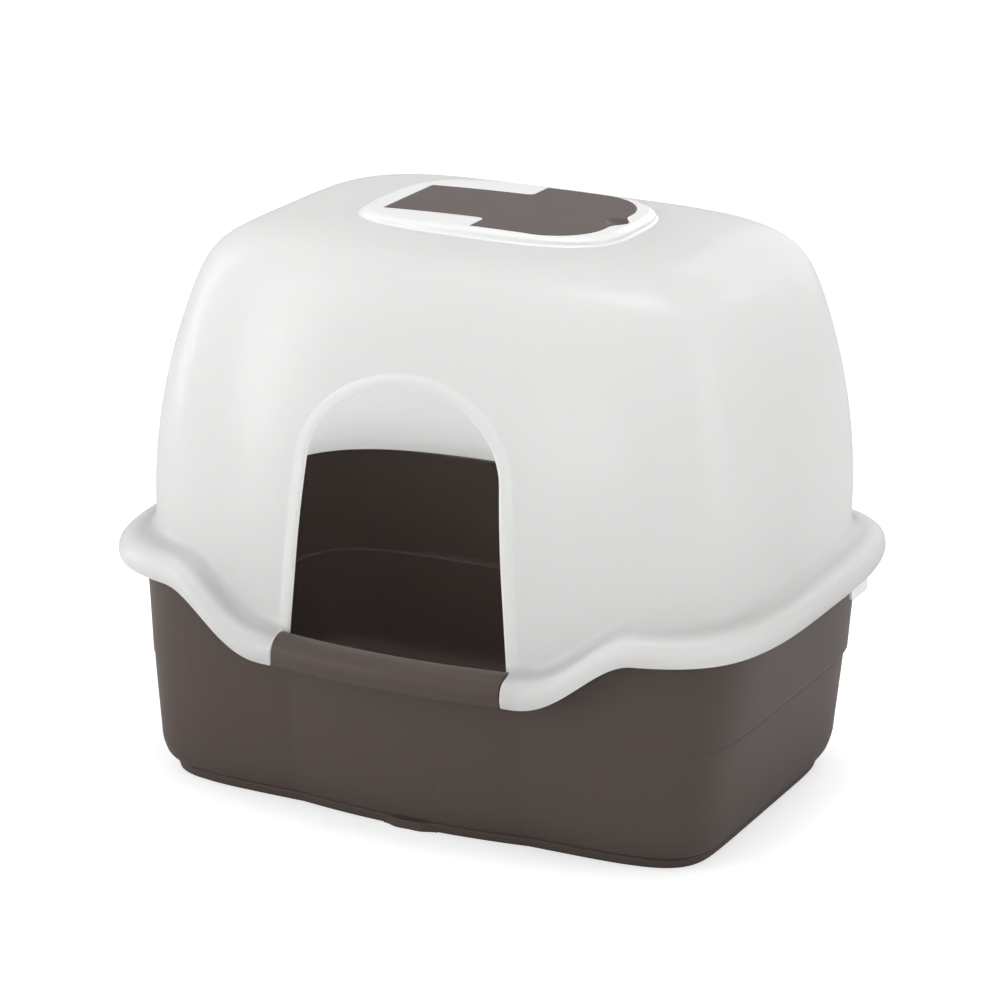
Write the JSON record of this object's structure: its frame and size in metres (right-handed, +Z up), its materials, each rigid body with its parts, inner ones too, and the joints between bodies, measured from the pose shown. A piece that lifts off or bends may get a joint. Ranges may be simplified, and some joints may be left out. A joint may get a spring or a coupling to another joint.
{
  "type": "hooded cat litter box",
  "caption": "Hooded cat litter box: a deep basin under a domed lift-off hood with an arched doorway and a hinged roof hatch over a filter pocket.",
  "frame": {"origin": "on the floor under the middle of the outline", "axes": "+Z up, -Y towards the doorway, +X to the right when facing the doorway"},
  "size_m": [0.58, 0.443, 0.4746],
  "materials": {
    "tray_plastic": "satin",
    "hood_plastic": "satin gloss",
    "hatch_plastic": "satin",
    "filter_felt": "matt"
  },
  "bodies": {
    "tray": {"litter_tray": "tray_plastic"},
    "hood": {"hood": "hood_plastic", "carbon_filter": "filter_felt"},
    "hatch": {"roof_hatch": "hatch_plastic"}
  },
  "joints": [
    {"name": "hood_lift", "type": "slide", "parent": "tray", "child": "hood", "axis": [0, 0, 1], "range_m": [0, 0.25]},
    {"name": "hatch_hinge", "type": "hinge", "parent": "hood", "child": "hatch", "pos_m": [-0.0815, 0.0035, 0.46897], "axis": [0, -1, 0], "range_deg": [0, 100]}
  ]
}
